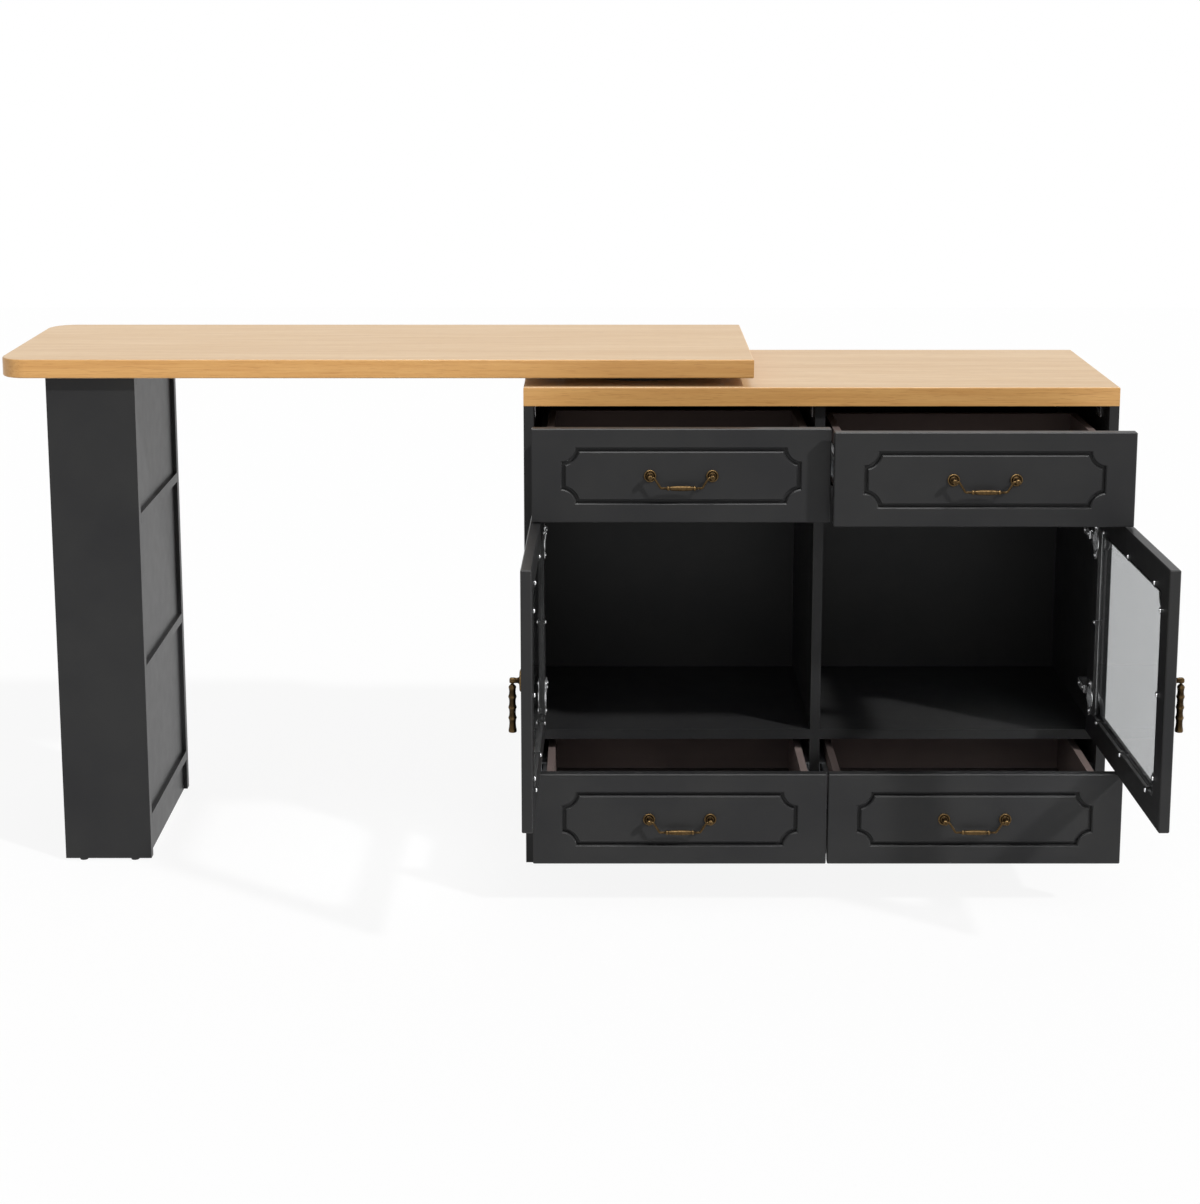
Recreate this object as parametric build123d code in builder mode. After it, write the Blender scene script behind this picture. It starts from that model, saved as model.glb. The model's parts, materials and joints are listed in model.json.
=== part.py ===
"""Bar table: a drawer and glass-door cabinet whose second top swivels out on a bookcase leg.

Millimetres, +Z up, +X to the right and +Y to the back as seen from the drawer side.
The origin is on the floor, under the middle of the table as it stands with its drawers
part open, its doors open and its swivel top pulled out to the left.
"""

from build123d import *
import os
from math import cos, radians, sin

# Carcass
CAB_W = 1000.0
CAB_D = 400.0
BOARD = 17.0
BACK_T = 6.0
BACK_IN = 8.0
KICK_IN = 40.0
GLIDE_T = 4.0
GLIDE_R = 7.0
GLIDE_IN = 30.0
KICK_GLIDE_SPAN = 330.0
PANEL_EDGE_R = 1.0

# Tops and the swivel between them
TOP_T = 32.0
TOP_EDGE_R = 2.5
TOP_L = 1266.5
TOP_OVERLAP = 386.0
TOP_CORNER_R = 45.0
PIVOT_IN = 200.0
SWIVEL_H = 15.0
RACE_R = 110.0
RACE_W = 50.0
RACE_T = 5.0
BALL_R = 3.0
BALL_COUNT = 24
BALL_CLEAR = 0.3
CAGE_T = 2.0
CAGE_W = 14.0
BOLT_R = 6.0
BOLT_HEAD_R = 11.0
BOLT_HEAD_T = 8.0
BOLT_UP = 20.0
BOLT_CLEAR = 0.08

# Rows of drawer and door fronts, from the floor up
FRONT_LOW = 85.0
DRAWER_H = 154.0
DOOR_H = 410.0
ROW_GAP = 2.0
TOP_GAP = 4.0
FRONT_T = 17.0
FRONT_GAP = 1.5
MID_GAP = 2.0
STOP_GAP = 1.0
FRONT_EDGE_R = 2.0

# Routed line on a drawer front, with its scooped corners
GROOVE_SIDE = 46.5
GROOVE_END = 30.0
GROOVE_W = 9.0
GROOVE_DEPTH = 5.0
SCOOP_R = 23.0

# Drawer boxes, and how far each stands open
BOX_L = 350.0
BOX_H = 92.0
BOX_UP = 25.0
WALL = 12.0
BOTTOM_T = 5.0
BOTTOM_UP = 8.0
SLOT = 6.0
SLOT_CLEAR = 0.5
GLUE_LINE = 0.1
UPPER_LEFT_OUT = 178.0
UPPER_RIGHT_OUT = 208.0
LOWER_OUT = 207.0

# Side-mounted runners
RUNNER_H = 45.0
RUNNER_SPACE = 13.0
RUNNER_DEEP = 10.0
RUNNER_T = 1.4
RUNNER_SET = 3.0
RUNNER_CLEAR = 0.3

# Bail pull of a drawer
BAIL_SPAN = 100.0
BAIL_OFF = 15.0
BAIL_DROP = 17.0
BAIL_BAR = 66.0
ROD_R = 1.85
BEND_R = 4.0
GRIP_L = 42.0
GRIP_R = 3.3
RING_R = 3.9
RING_L = 2.0
ROSETTE_R = 10.0
ROSETTE_T = 2.5
POST_R = 4.5
SCREW_R = 2.0
SCREW_CLEAR = 0.2
SCREW_IN = 7.0
SCREW_HEAD_R = 4.0
SCREW_HEAD_T = 2.2
RUN_CLEAR = 0.08

# Glazed doors
DOOR_OPEN = 91.0
DOOR_SIDE_GAP = 3.0
REBATE_IN = 42.5
LIP_W = 10.0
LIP_T = 8.0
GLASS_T = 4.0
GLASS_CLEAR = 1.0
DOOR_SCOOP_R = 25.0
CLIP_W = 8.0
CLIP_LAP = 4.0
CLIP_TAB = 5.0
CLIP_T = 1.2
CLIP_CLEAR = 0.5
CLIP_SPREAD_X = 160.0
CLIP_SPREAD_Z = 132.0

# Cup hinges of the doors
HINGE_END = 68.0
PIN_IN = 2.8
PIN_BACK = 4.5
PIN_R = 1.5
KNUCKLE_R = 2.7
POCKET_CLEAR = 0.5
EAR_T = 2.0
EAR_CLEAR = 0.3
ARM_H = 14.0
ARM_T = 9.0
ARM_START = 21.0
ARM_END = 76.0
NECK_T = 3.0
PLATE_T = 2.5
PLATE_H = 50.0
PLATE_L = 30.0
CUP_R = 17.5
CUP_IN = 24.6
CUP_DEPTH = 11.0
CUP_WALL = 1.0
CUP_CLEAR = 0.2
CUP_RIM = 2.0
FLANGE_T = 1.2
FLANGE_W = 15.0
FLANGE_SCREWS = 48.0

# Drop pull of a door
PULL_EDGE = 25.0
PULL_UP = 28.0
PULL_STAND = 14.0
PULL_ROSETTE_R = 17.0
PULL_ROSETTE_T = 3.0
PULL_POST_R = 4.5
PULL_POST_END = 4.5
PULL_SLOT = 4.4
EYE_T = 3.8
EYE_R = 4.0
STEM_W = 5.0
STEM_IN = 3.0
DROP_GAP = 7.2
DROP_L = 74.0
DROP_R = 4.7
DROP_RING_R = 5.4
DROP_RING_L = 2.4
DROP_RINGS = 4
DROP_END_R = 1.2

# Bookcase leg
LEG_IN = 75.7
LEG_W = 149.5
LEG_INSET = 19.0
LEG_SHELF_LOW = 79.0
LEG_PITCH = 269.5
LEG_SHELVES = 3
LEG_BACK_T = 6.0
LEG_BACK_IN = 6.5

# Corner brackets that hold the fixed top
BRACKET_W = 30.0
BRACKET_LEG = 30.0
BRACKET_T = 2.0
BRACKET_IN = 60.0

# Heights
lower_z = FRONT_LOW
door_z = lower_z + DRAWER_H + ROW_GAP
upper_z = door_z + DOOR_H + ROW_GAP
carcass_top = upper_z + DRAWER_H + TOP_GAP
top_z = carcass_top + TOP_T
table_z = top_z + SWIVEL_H
bottom_z = (FRONT_LOW - BOARD, FRONT_LOW)
shelf_z = (lower_z + DRAWER_H - BOARD, lower_z + DRAWER_H)
divider_z = (upper_z, upper_z + BOARD)
door_mid_z = door_z + DOOR_H / 2

# Widths of the fronts
inner_w = CAB_W - 2 * BOARD
front_w = (inner_w - 2 * FRONT_GAP - MID_GAP) / 2
door_w = front_w + FRONT_GAP - DOOR_SIDE_GAP

# Where the cabinet stands, so that the origin is under the middle of the open table
door_turn = (cos(radians(DOOR_OPEN)), sin(radians(DOOR_OPEN)))
door_arm = door_w - PIN_IN
pull_arm = door_arm - PULL_EDGE
pull_reach = PIN_BACK + PULL_STAND + DROP_RING_R
axis_in = BOARD + DOOR_SIDE_GAP + PIN_IN
right_reach = CAB_W - axis_in - pull_arm * door_turn[0] + pull_reach * door_turn[1]
front_reach = door_arm * door_turn[1] + (PIN_BACK - FRONT_T) * door_turn[0] - PIN_BACK
cab_l = (TOP_L - TOP_OVERLAP - right_reach) / 2
front = (front_reach - CAB_D) / 2
cab_r = cab_l + CAB_W
back = front + CAB_D
mid_x = (cab_l + cab_r) / 2
mid_y = (front + back) / 2
in_l = cab_l + BOARD
in_r = cab_r - BOARD
board_y = (front + FRONT_T + STOP_GAP, back - BACK_IN - BACK_T)
pivot = (cab_l + PIVOT_IN, mid_y)
cabinet_middle = Plane.YZ.offset(mid_x)

# Drawer box and runner places, measured from the middle of a drawer front
front_off = MID_GAP / 2 + front_w / 2
box_half = front_off - BOARD / 2 - RUNNER_SPACE
packer_t = inner_w / 2 - front_off - box_half - RUNNER_SPACE
runner_up = BOX_UP + BOX_H / 2
runner_y = (front + FRONT_T + RUNNER_SET, front + FRONT_T + BOX_L)

os.makedirs("parts", exist_ok=True)


def save(builder, name):
    """Labels a finished sub-part and writes its STEP file."""
    builder.part.label = name
    export_step(builder.part, f"parts/{name}.step")


def block(x, y, z, mode=Mode.ADD):
    """A board that fills the space between the low and high limits on each axis."""
    with Locations(((x[0] + x[1]) / 2, (y[0] + y[1]) / 2, (z[0] + z[1]) / 2)):
        Box(x[1] - x[0], y[1] - y[0], z[1] - z[0], mode=mode)


def about(middle, half):
    """The limits of a width with its middle and half given."""
    return (middle - half, middle + half)


def scooped(width, height, inset, scoop):
    """A rectangle with a quarter circle scooped out of each corner, all drawn in by inset."""
    Rectangle(width - 2 * inset, height - 2 * inset)
    with GridLocations(width, height, 2, 2):
        Circle(scoop + inset, mode=Mode.SUBTRACT)


def mirrored(source, name):
    """Writes the left-hand twin of a right-hand sub-part."""
    with BuildPart() as twin:
        add(source.part)
        mirror(about=cabinet_middle, mode=Mode.REPLACE)
    save(twin, name)


# Side panels, standing on glides
for name, x in {"left": (cab_l, in_l), "right": (in_r, cab_r)}.items():
    with BuildPart() as side_panel:
        block(x, (front, back), (GLIDE_T, carcass_top))
        front_edges = side_panel.faces().sort_by(Axis.Y)[0].edges().filter_by(Axis.Z)
        fillet(front_edges, PANEL_EDGE_R)
    save(side_panel, f"{name}_side_panel")

# Boards that run across between the side panels
with BuildPart() as divider_shelf:
    block((in_l, in_r), board_y, divider_z)
save(divider_shelf, "divider_shelf")

with BuildPart() as compartment_shelf:
    block((in_l, in_r), board_y, shelf_z)
save(compartment_shelf, "compartment_shelf")

with BuildPart() as bottom_board:
    block((in_l, in_r), board_y, bottom_z)
save(bottom_board, "bottom_board")

with BuildPart() as kick_board:
    block((in_l, in_r), (front + KICK_IN, front + KICK_IN + BOARD), (GLIDE_T, bottom_z[0]))
save(kick_board, "kick_board")

with BuildPart() as back_panel:
    block((in_l, in_r), (board_y[1], board_y[1] + BACK_T), (bottom_z[0], carcass_top))
save(back_panel, "back_panel")

# Upright in the middle, in three lengths between the boards
partition_spans = [
    (bottom_z[1], shelf_z[0]),
    (shelf_z[1], divider_z[0]),
    (divider_z[1], carcass_top),
]
with BuildPart() as centre_partition:
    for span in partition_spans:
        block(about(mid_x, BOARD / 2), board_y, span)
save(centre_partition, "centre_partition")

# Nail-on glides under the side panels and the kick board
kick_y = front + KICK_IN + BOARD / 2
glide_places = [
    (x, y, 0)
    for x in (cab_l + BOARD / 2, cab_r - BOARD / 2)
    for y in (front + GLIDE_IN, back - GLIDE_IN)
]
glide_places += [(x, kick_y, 0) for x in about(mid_x, KICK_GLIDE_SPAN / 2)]
with BuildPart() as cabinet_glides:
    with Locations(*glide_places):
        Cylinder(GLIDE_R, GLIDE_T, align=(Align.CENTER, Align.CENTER, Align.MIN))
save(cabinet_glides, "cabinet_glides")

# Angle brackets between the uprights and the fixed top
bracket_sides = [
    (in_l, 1),
    (mid_x - BOARD / 2, -1),
    (mid_x + BOARD / 2, 1),
    (in_r, -1),
]
with BuildPart() as top_brackets:
    for x, way in bracket_sides:
        for y in (front + BRACKET_IN, back - BRACKET_IN - BRACKET_W):
            y_span = (y, y + BRACKET_W)
            upright = sorted((x, x + way * BRACKET_T))
            flat = sorted((x, x + way * BRACKET_LEG))
            block(upright, y_span, (carcass_top - BRACKET_LEG, carcass_top))
            block(flat, y_span, (carcass_top - BRACKET_T, carcass_top))
save(top_brackets, "top_brackets")

# Fixed top
with BuildPart() as fixed_top:
    block((cab_l, cab_r), (front, back), (carcass_top, top_z))
    fillet(fixed_top.faces().sort_by(Axis.Z)[-1].edges(), TOP_EDGE_R)
    with BuildSketch(Plane.XY.offset(carcass_top)):
        with Locations(pivot):
            Circle(BOLT_R + BOLT_CLEAR)
    extrude(amount=TOP_T, mode=Mode.SUBTRACT)
save(fixed_top, "fixed_top")

# Swivel top, rounded in plan at its leg end
table_x = (cab_l + TOP_OVERLAP - TOP_L, cab_l + TOP_OVERLAP)
with BuildPart() as swivel_top:
    block(table_x, (front, back), (table_z, table_z + TOP_T))
    fillet(swivel_top.edges().filter_by(Axis.Z).group_by(Axis.X)[0], TOP_CORNER_R)
    rims = swivel_top.faces().filter_by(Axis.Z).edges()
    fillet(rims, TOP_EDGE_R)
    with BuildSketch(Plane.XY.offset(table_z)):
        with Locations(pivot):
            Circle(BOLT_R + BOLT_CLEAR)
    extrude(amount=BOLT_UP + BOLT_CLEAR, mode=Mode.SUBTRACT)
save(swivel_top, "swivel_top")

# Pivot bolt, with its head under the fixed top
with BuildPart() as pivot_bolt:
    with BuildSketch(Plane.XY.offset(carcass_top - BOLT_HEAD_T)):
        with Locations(pivot):
            RegularPolygon(BOLT_HEAD_R, 6)
    extrude(amount=BOLT_HEAD_T)
    with BuildSketch(Plane.XY.offset(carcass_top)):
        with Locations(pivot):
            Circle(BOLT_R)
    extrude(amount=TOP_T + SWIVEL_H + BOLT_UP)
save(pivot_bolt, "pivot_bolt")

# Ball races and the caged balls between them
ball_z = top_z + SWIVEL_H / 2
for name, z in {"lower": top_z, "upper": table_z - RACE_T}.items():
    with BuildPart() as race:
        with BuildSketch(Plane.XY.offset(z)):
            with Locations(pivot):
                Circle(RACE_R + RACE_W / 2)
                Circle(RACE_R - RACE_W / 2, mode=Mode.SUBTRACT)
        extrude(amount=RACE_T)
        with Locations((*pivot, ball_z)):
            Torus(RACE_R, BALL_R + BALL_CLEAR, mode=Mode.SUBTRACT)
    save(race, f"swivel_{name}_race")

with BuildPart() as swivel_balls:
    with BuildSketch(Plane.XY.offset(ball_z - CAGE_T / 2)):
        with Locations(pivot):
            Circle(RACE_R + CAGE_W / 2)
            Circle(RACE_R - CAGE_W / 2, mode=Mode.SUBTRACT)
            with PolarLocations(RACE_R, BALL_COUNT):
                Circle(BALL_R + BALL_CLEAR, mode=Mode.SUBTRACT)
    extrude(amount=CAGE_T)
    with Locations((*pivot, ball_z)):
        with PolarLocations(RACE_R, BALL_COUNT):
            Sphere(BALL_R)
save(swivel_balls, "swivel_balls")

# Bookcase leg: two boards, shelves between them and a thin back facing the cabinet
leg_x = (table_x[0] + LEG_IN, table_x[0] + LEG_IN + LEG_W)
leg_front_y = (front + LEG_INSET, front + LEG_INSET + BOARD)
leg_back_y = (back - LEG_INSET - BOARD, back - LEG_INSET)
leg_inner_y = (leg_front_y[1], leg_back_y[0])
leg_board_z = (GLIDE_T, table_z)
for name, y in {"front": leg_front_y, "back": leg_back_y}.items():
    with BuildPart() as leg_board:
        block(leg_x, y, leg_board_z)
        fillet(leg_board.edges().filter_by(Axis.Z), PANEL_EDGE_R)
    save(leg_board, f"leg_{name}_board")

leg_tops = [LEG_SHELF_LOW + n * LEG_PITCH for n in range(LEG_SHELVES)] + [table_z]
with BuildPart() as leg_shelves:
    for z in leg_tops:
        block(leg_x, leg_inner_y, (z - BOARD, z))
save(leg_shelves, "leg_shelves")

leg_back_x = (leg_x[1] - LEG_BACK_IN - LEG_BACK_T, leg_x[1] - LEG_BACK_IN)
with BuildPart() as leg_back_panels:
    for low, high in zip([GLIDE_T, *leg_tops], leg_tops):
        block(leg_back_x, leg_inner_y, (low, high - BOARD))
save(leg_back_panels, "leg_back_panels")

with BuildPart() as leg_glides:
    for x in (leg_x[0] + GLIDE_IN, leg_x[1] - GLIDE_IN):
        for y in (sum(leg_front_y) / 2, sum(leg_back_y) / 2):
            with Locations((x, y, 0)):
                Cylinder(GLIDE_R, GLIDE_T, align=(Align.CENTER, Align.CENTER, Align.MIN))
save(leg_glides, "leg_glides")


def channel(x, way, half, y, z):
    """A C-shaped runner: its web on the plane at x, its two flanges reaching out along way."""
    web = sorted((x, x + way * RUNNER_T))
    reach = sorted((x, x + way * RUNNER_DEEP))
    block(web, y, about(z, half))
    block(reach, y, (z + half - RUNNER_T, z + half))
    block(reach, y, (z - half, z - half + RUNNER_T))


# Fixed runners, on the middle partition and on packers beside the side panels
runner_heights = [lower_z + runner_up, upper_z + runner_up]
with BuildPart() as cabinet_runners:
    for z in runner_heights:
        for way in (-1, 1):
            outer_x = mid_x + way * (inner_w / 2 - packer_t)
            channel(outer_x, -way, RUNNER_H / 2, runner_y, z)
            channel(mid_x + way * BOARD / 2, way, RUNNER_H / 2, runner_y, z)
save(cabinet_runners, "cabinet_runners")

with BuildPart() as runner_packers:
    for z in runner_heights:
        for way in (-1, 1):
            wall_x = mid_x + way * inner_w / 2
            span = sorted((wall_x, wall_x - way * packer_t))
            block(span, runner_y, about(z, RUNNER_H / 2))
save(runner_packers, "runner_packers")


def make_drawer_front(name, face):
    """Inset front with its routed line, a slot for the drawer bottom and two screw holes."""
    line_w = front_w - 2 * GROOVE_SIDE
    line_h = DRAWER_H - 2 * GROOVE_END
    with BuildPart() as drawer_front:
        with BuildSketch(face):
            Rectangle(front_w, DRAWER_H)
        extrude(amount=-FRONT_T)
        fillet(drawer_front.faces().sort_by(Axis.Y)[0].edges(), FRONT_EDGE_R)
        with BuildSketch(face):
            scooped(line_w, line_h, 0, SCOOP_R)
        extrude(amount=-GROOVE_DEPTH, mode=Mode.SUBTRACT)
        with BuildSketch(face):
            scooped(line_w, line_h, GROOVE_W, SCOOP_R)
        extrude(amount=-GROOVE_DEPTH)
        with BuildSketch(face):
            with GridLocations(BAIL_SPAN, 0, 2, 1):
                Circle(SCREW_R + SCREW_CLEAR)
        extrude(amount=-FRONT_T, mode=Mode.SUBTRACT)
        rear = face.origin.Y + FRONT_T
        slot_z = face.origin.Z - DRAWER_H / 2 + BOX_UP + BOTTOM_UP
        block(
            about(face.origin.X, box_half - WALL + SLOT),
            (rear - SLOT, rear),
            (slot_z, slot_z + BOTTOM_T),
            mode=Mode.SUBTRACT,
        )
    save(drawer_front, f"{name}_drawer_front")


def make_drawer_box(name, x, y, z):
    """Two sides and a back, with the bottom let into slots in the sides."""
    side_y = (y, y + BOX_L)
    side_z = (z, z + BOX_H)
    bottom = (z + BOTTOM_UP, z + BOTTOM_UP + BOTTOM_T)
    with BuildPart() as drawer_walls:
        for way in (-1, 1):
            block(sorted((x + way * box_half, x + way * (box_half - WALL))), side_y, side_z)
        block(about(x, box_half - WALL + SLOT), side_y, bottom, mode=Mode.SUBTRACT)
        back_half = box_half - WALL - GLUE_LINE
        block(about(x, back_half), (side_y[1] - WALL, side_y[1]), (bottom[1], side_z[1]))
    save(drawer_walls, f"{name}_drawer_walls")
    with BuildPart() as drawer_bottom:
        half = box_half - WALL + SLOT - SLOT_CLEAR
        block(about(x, half), (y - SLOT + SLOT_CLEAR, side_y[1]), bottom)
    save(drawer_bottom, f"{name}_drawer_bottom")
    with BuildPart() as drawer_runners:
        half = RUNNER_H / 2 - RUNNER_T - RUNNER_CLEAR
        for way in (-1, 1):
            edge = x + way * box_half
            channel(edge, way, half, (y + RUNNER_SET, side_y[1]), z + BOX_H / 2)
    save(drawer_runners, f"{name}_drawer_runners")


def make_bail_pull(name, face):
    """Two rosettes with posts, screwed on from inside, and the bail that swings in them."""
    hang = face.offset(BAIL_OFF)
    with BuildPart() as pull_posts:
        with BuildSketch(face):
            with GridLocations(BAIL_SPAN, 0, 2, 1):
                Circle(ROSETTE_R)
        extrude(amount=ROSETTE_T)
        fillet(pull_posts.faces().sort_by(Axis.Y)[:2].edges(), ROSETTE_T / 2)
        with BuildSketch(face):
            with GridLocations(BAIL_SPAN, 0, 2, 1):
                Circle(POST_R)
        extrude(amount=BAIL_OFF + POST_R)
        fillet(pull_posts.faces().sort_by(Axis.Y)[:2].edges(), POST_R / 2)
        with BuildSketch(Plane(origin=hang.origin, x_dir=(0, 1, 0), z_dir=(1, 0, 0))):
            Circle(ROD_R + RUN_CLEAR)
        extrude(amount=BAIL_SPAN, both=True, mode=Mode.SUBTRACT)
        with BuildSketch(face):
            with GridLocations(BAIL_SPAN, 0, 2, 1):
                Circle(SCREW_R + SCREW_CLEAR)
        extrude(amount=SCREW_IN, mode=Mode.SUBTRACT)
        with BuildSketch(face.offset(-FRONT_T)):
            with GridLocations(BAIL_SPAN, 0, 2, 1):
                Circle(SCREW_HEAD_R)
        extrude(amount=-SCREW_HEAD_T)
        with BuildSketch(face.offset(-FRONT_T)):
            with GridLocations(BAIL_SPAN, 0, 2, 1):
                Circle(SCREW_R)
        extrude(amount=FRONT_T + SCREW_IN - SCREW_CLEAR)
    save(pull_posts, f"{name}_pull_posts")

    tip = BAIL_SPAN / 2 + POST_R / 2
    shoulder = BAIL_SPAN / 2 - POST_R - ROD_R
    bend_points = [
        (-tip, 0),
        (-shoulder, 0),
        (-BAIL_BAR / 2, -BAIL_DROP),
        (BAIL_BAR / 2, -BAIL_DROP),
        (shoulder, 0),
        (tip, 0),
    ]
    with BuildPart() as bail:
        with BuildLine(hang) as rod:
            FilletPolyline(*bend_points, radius=BEND_R)
        with BuildSketch(Plane(origin=rod.line @ 0, z_dir=rod.line % 0)):
            Circle(ROD_R)
        sweep()
        bar = Plane(
            origin=hang.origin - (0, 0, BAIL_DROP), x_dir=(0, 1, 0), z_dir=(1, 0, 0)
        )
        with BuildSketch(bar):
            Circle(GRIP_R)
        extrude(amount=GRIP_L / 2, both=True)
        for ring in (-1, 0, 1):
            with BuildSketch(bar.offset(ring * (GRIP_L - RING_L) / 2)):
                Circle(RING_R)
            extrude(amount=RING_L / 2, both=True)
    save(bail, f"{name}_bail")


drawers = {
    "upper_left": (-1, upper_z, UPPER_LEFT_OUT),
    "upper_right": (1, upper_z, UPPER_RIGHT_OUT),
    "lower_left": (-1, lower_z, LOWER_OUT),
    "lower_right": (1, lower_z, LOWER_OUT),
}
for name, (way, low, out) in drawers.items():
    middle = (mid_x + way * front_off, front - out, low + DRAWER_H / 2)
    face_plane = Plane(origin=middle, x_dir=(1, 0, 0), z_dir=(0, -1, 0))
    make_drawer_front(name, face_plane)
    make_drawer_box(name, middle[0], front - out + FRONT_T, low + BOX_UP)
    make_bail_pull(name, face_plane)

# Right door, drawn on its outer face as it stands open; +X of this plane runs to the hinges
hinge_axis = (in_r - DOOR_SIDE_GAP - PIN_IN, front + PIN_BACK)
door_x_dir = (door_turn[0], door_turn[1], 0)
door_out_dir = (door_turn[1], -door_turn[0], 0)
hinge_plane = Plane(origin=(*hinge_axis, door_mid_z), x_dir=door_x_dir, z_dir=door_out_dir)
door_face = Plane(
    origin=hinge_plane.from_local_coords((PIN_IN - door_w / 2, 0, PIN_BACK)),
    x_dir=door_x_dir,
    z_dir=door_out_dir,
)
door_rear = door_face.offset(-FRONT_T)
pin_x = door_w / 2 - PIN_IN
hinge_up = DOOR_H / 2 - HINGE_END
ear_half = ARM_H / 2 + EAR_CLEAR + EAR_T
rebate_w = door_w - 2 * REBATE_IN
rebate_h = DOOR_H - 2 * REBATE_IN
hinge_marks = [(0, -hinge_up), (0, hinge_up)]

with BuildPart() as right_door_frame:
    with BuildSketch(door_face):
        Rectangle(door_w, DOOR_H)
    extrude(amount=-FRONT_T)
    fillet(right_door_frame.faces().sort_by(Axis.X)[-1].edges(), FRONT_EDGE_R)
    with BuildSketch(door_face):
        scooped(rebate_w - 2 * LIP_W, rebate_h - 2 * LIP_W, 0, DOOR_SCOOP_R)
    extrude(amount=-FRONT_T, mode=Mode.SUBTRACT)
    with BuildSketch(door_face.offset(-LIP_T)):
        Rectangle(rebate_w, rebate_h)
    extrude(amount=LIP_T - FRONT_T, mode=Mode.SUBTRACT)
    with BuildSketch(door_rear):
        with Locations(*[(door_w / 2 - CUP_IN, y) for x, y in hinge_marks]):
            Circle(CUP_R)
    extrude(amount=CUP_DEPTH, mode=Mode.SUBTRACT)
    pocket_w = PIN_IN + KNUCKLE_R + POCKET_CLEAR
    with BuildSketch(door_rear):
        with Locations(*[(door_w / 2 - pocket_w / 2, y) for x, y in hinge_marks]):
            Rectangle(pocket_w, 2 * ear_half + 2 * POCKET_CLEAR)
    extrude(amount=FRONT_T - PIN_BACK + KNUCKLE_R + POCKET_CLEAR, mode=Mode.SUBTRACT)
save(right_door_frame, "right_door_frame")
mirrored(right_door_frame, "left_door_frame")

with BuildPart() as right_door_glass:
    with BuildSketch(door_face.offset(-LIP_T)):
        Rectangle(rebate_w - 2 * GLASS_CLEAR, rebate_h - 2 * GLASS_CLEAR)
    extrude(amount=-GLASS_T)
save(right_door_glass, "right_door_glass")
mirrored(right_door_glass, "left_door_glass")

# Clips round the rebate: a foot on the glass and a tab on the frame, its +Y side outwards
clip_places = [Location((x, rebate_h / 2), 0) for x in (-CLIP_SPREAD_X, 0, CLIP_SPREAD_X)]
clip_places += [Location((x, -rebate_h / 2), 180) for x in (-CLIP_SPREAD_X, 0, CLIP_SPREAD_X)]
clip_places += [Location((-rebate_w / 2, y), 90) for y in (-CLIP_SPREAD_Z, 0, CLIP_SPREAD_Z)]
clip_places += [Location((rebate_w / 2, 0), -90)]
with BuildPart() as right_glass_clips:
    with BuildSketch(door_rear):
        with Locations(*clip_places):
            with Locations((0, (CLIP_TAB - CLIP_LAP) / 2)):
                Rectangle(CLIP_W, CLIP_TAB + CLIP_LAP)
    extrude(amount=-CLIP_T)
    with BuildSketch(door_rear):
        with Locations(*clip_places):
            with Locations((0, -(CLIP_LAP + CLIP_CLEAR) / 2)):
                Rectangle(CLIP_W, CLIP_LAP - CLIP_CLEAR)
    extrude(amount=FRONT_T - LIP_T - GLASS_T)
save(right_glass_clips, "right_glass_clips")
mirrored(right_glass_clips, "left_glass_clips")

# Cup, flange, two ears and the pin between them, set into the rear of the door
with BuildPart() as right_hinge_cups:
    for hinge_mark in hinge_marks:
        cup_at = (door_w / 2 - CUP_IN, hinge_mark[1])
        ear_mid = (cup_at[0] + pin_x + KNUCKLE_R) / 2
        ear_run = pin_x + KNUCKLE_R - cup_at[0]
        gate_w = 2 * KNUCKLE_R + POCKET_CLEAR
        with BuildSketch(door_rear):
            with Locations(cup_at):
                Circle(CUP_R + CUP_RIM)
                SlotCenterToCenter(FLANGE_SCREWS, FLANGE_W, rotation=90)
            with Locations((ear_mid, hinge_mark[1])):
                Rectangle(ear_run, 2 * ear_half)
            with Locations((pin_x + KNUCKLE_R - gate_w / 2, hinge_mark[1])):
                Rectangle(gate_w, ARM_H + 2 * EAR_CLEAR, mode=Mode.SUBTRACT)
            with Locations(((door_w + gate_w) / 2, hinge_mark[1])):
                Rectangle(gate_w, 2 * CUP_R + 2 * CUP_RIM, mode=Mode.SUBTRACT)
        extrude(amount=-FLANGE_T)
        with BuildSketch(door_rear):
            with Locations(cup_at):
                Circle(CUP_R - CUP_CLEAR)
        extrude(amount=CUP_DEPTH - CUP_CLEAR)
        with BuildSketch(door_rear.offset(-FLANGE_T)):
            with Locations(cup_at):
                Circle(CUP_R - CUP_CLEAR - CUP_WALL)
        extrude(amount=FLANGE_T + CUP_DEPTH - CUP_CLEAR - CUP_WALL, mode=Mode.SUBTRACT)
        pin_low = door_mid_z + hinge_mark[1] - ear_half
        ear_floor = Plane(origin=(*hinge_axis, pin_low), x_dir=door_x_dir, z_dir=(0, 0, 1))
        ear_depth = FRONT_T - PIN_BACK + FLANGE_T
        for plane in (ear_floor, ear_floor.offset(2 * ear_half - EAR_T)):
            with BuildSketch(plane):
                Circle(KNUCKLE_R)
                with Locations((0, ear_depth / 2)):
                    Rectangle(2 * KNUCKLE_R, ear_depth)
            extrude(amount=EAR_T)
        with BuildSketch(ear_floor):
            Circle(PIN_R)
        extrude(amount=2 * ear_half)
save(right_hinge_cups, "right_hinge_cups")
mirrored(right_hinge_cups, "left_hinge_cups")

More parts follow.
